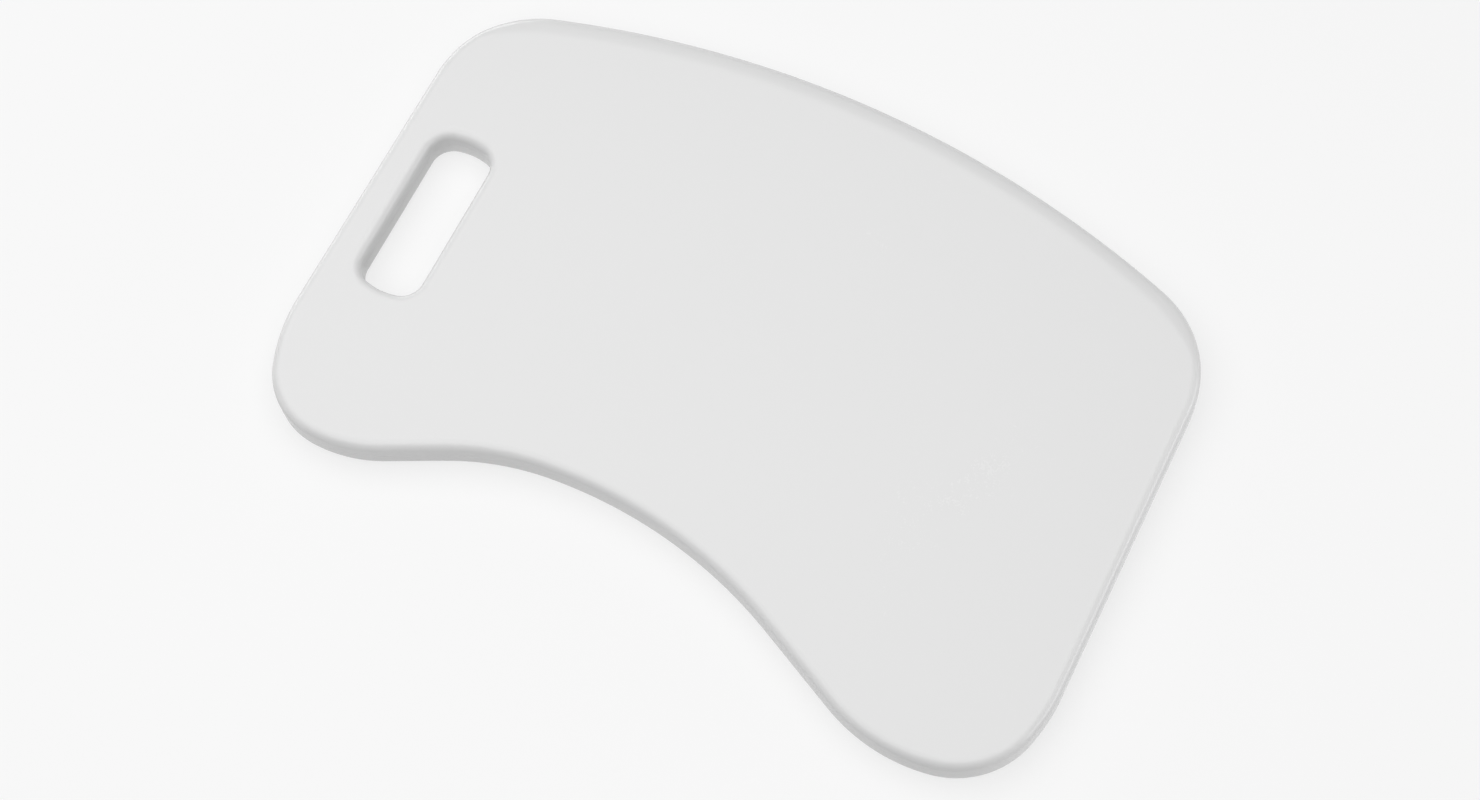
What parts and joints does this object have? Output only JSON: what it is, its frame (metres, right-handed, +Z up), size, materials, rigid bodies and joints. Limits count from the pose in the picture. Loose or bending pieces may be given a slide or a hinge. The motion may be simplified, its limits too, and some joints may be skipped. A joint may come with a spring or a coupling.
{
  "type": "lap board",
  "caption": "Flat white board for the lap: bowed far edge, hollowed near edge, rounded lobes, rolled rims and a hand slot at one end.",
  "frame": {"origin": "middle of the outline's box, on the surface that the grip pads stand on", "axes": "+X along the length, away from the hand slot; +Y across the width, towards the bowed far edge; +Z up, out of the work surface"},
  "size_m": [0.5599, 0.3881, 0.0295],
  "materials": {
    "shell_white": "satin moulded, fine grain",
    "foam": "closed-cell foam, matt",
    "tube_metal": "mill finish",
    "ring_plastic": "matt nylon",
    "seal_rubber": "matt",
    "insert_brass": "machined",
    "screw_steel": "plated",
    "pad_rubber": "fine ribbed, matt"
  },
  "bodies": {
    "root": {"top_shell": "shell_white", "bottom_shell": "shell_white", "foam_core": "foam", "far_stiffener": "tube_metal", "near_stiffener": "tube_metal", "slot_ring": "ring_plastic", "rim_seal": "seal_rubber", "slot_seal": "seal_rubber", "thread_inserts": "insert_brass", "screws": "screw_steel", "screw_washers": "seal_rubber", "screw_plugs": "shell_white", "grip_pad_far_middle": "pad_rubber", "grip_pad_far_left": "pad_rubber", "grip_pad_far_right": "pad_rubber", "grip_pad_near_left": "pad_rubber", "grip_pad_near_middle": "pad_rubber", "grip_pad_near_right": "pad_rubber"}
  },
  "joints": []
}
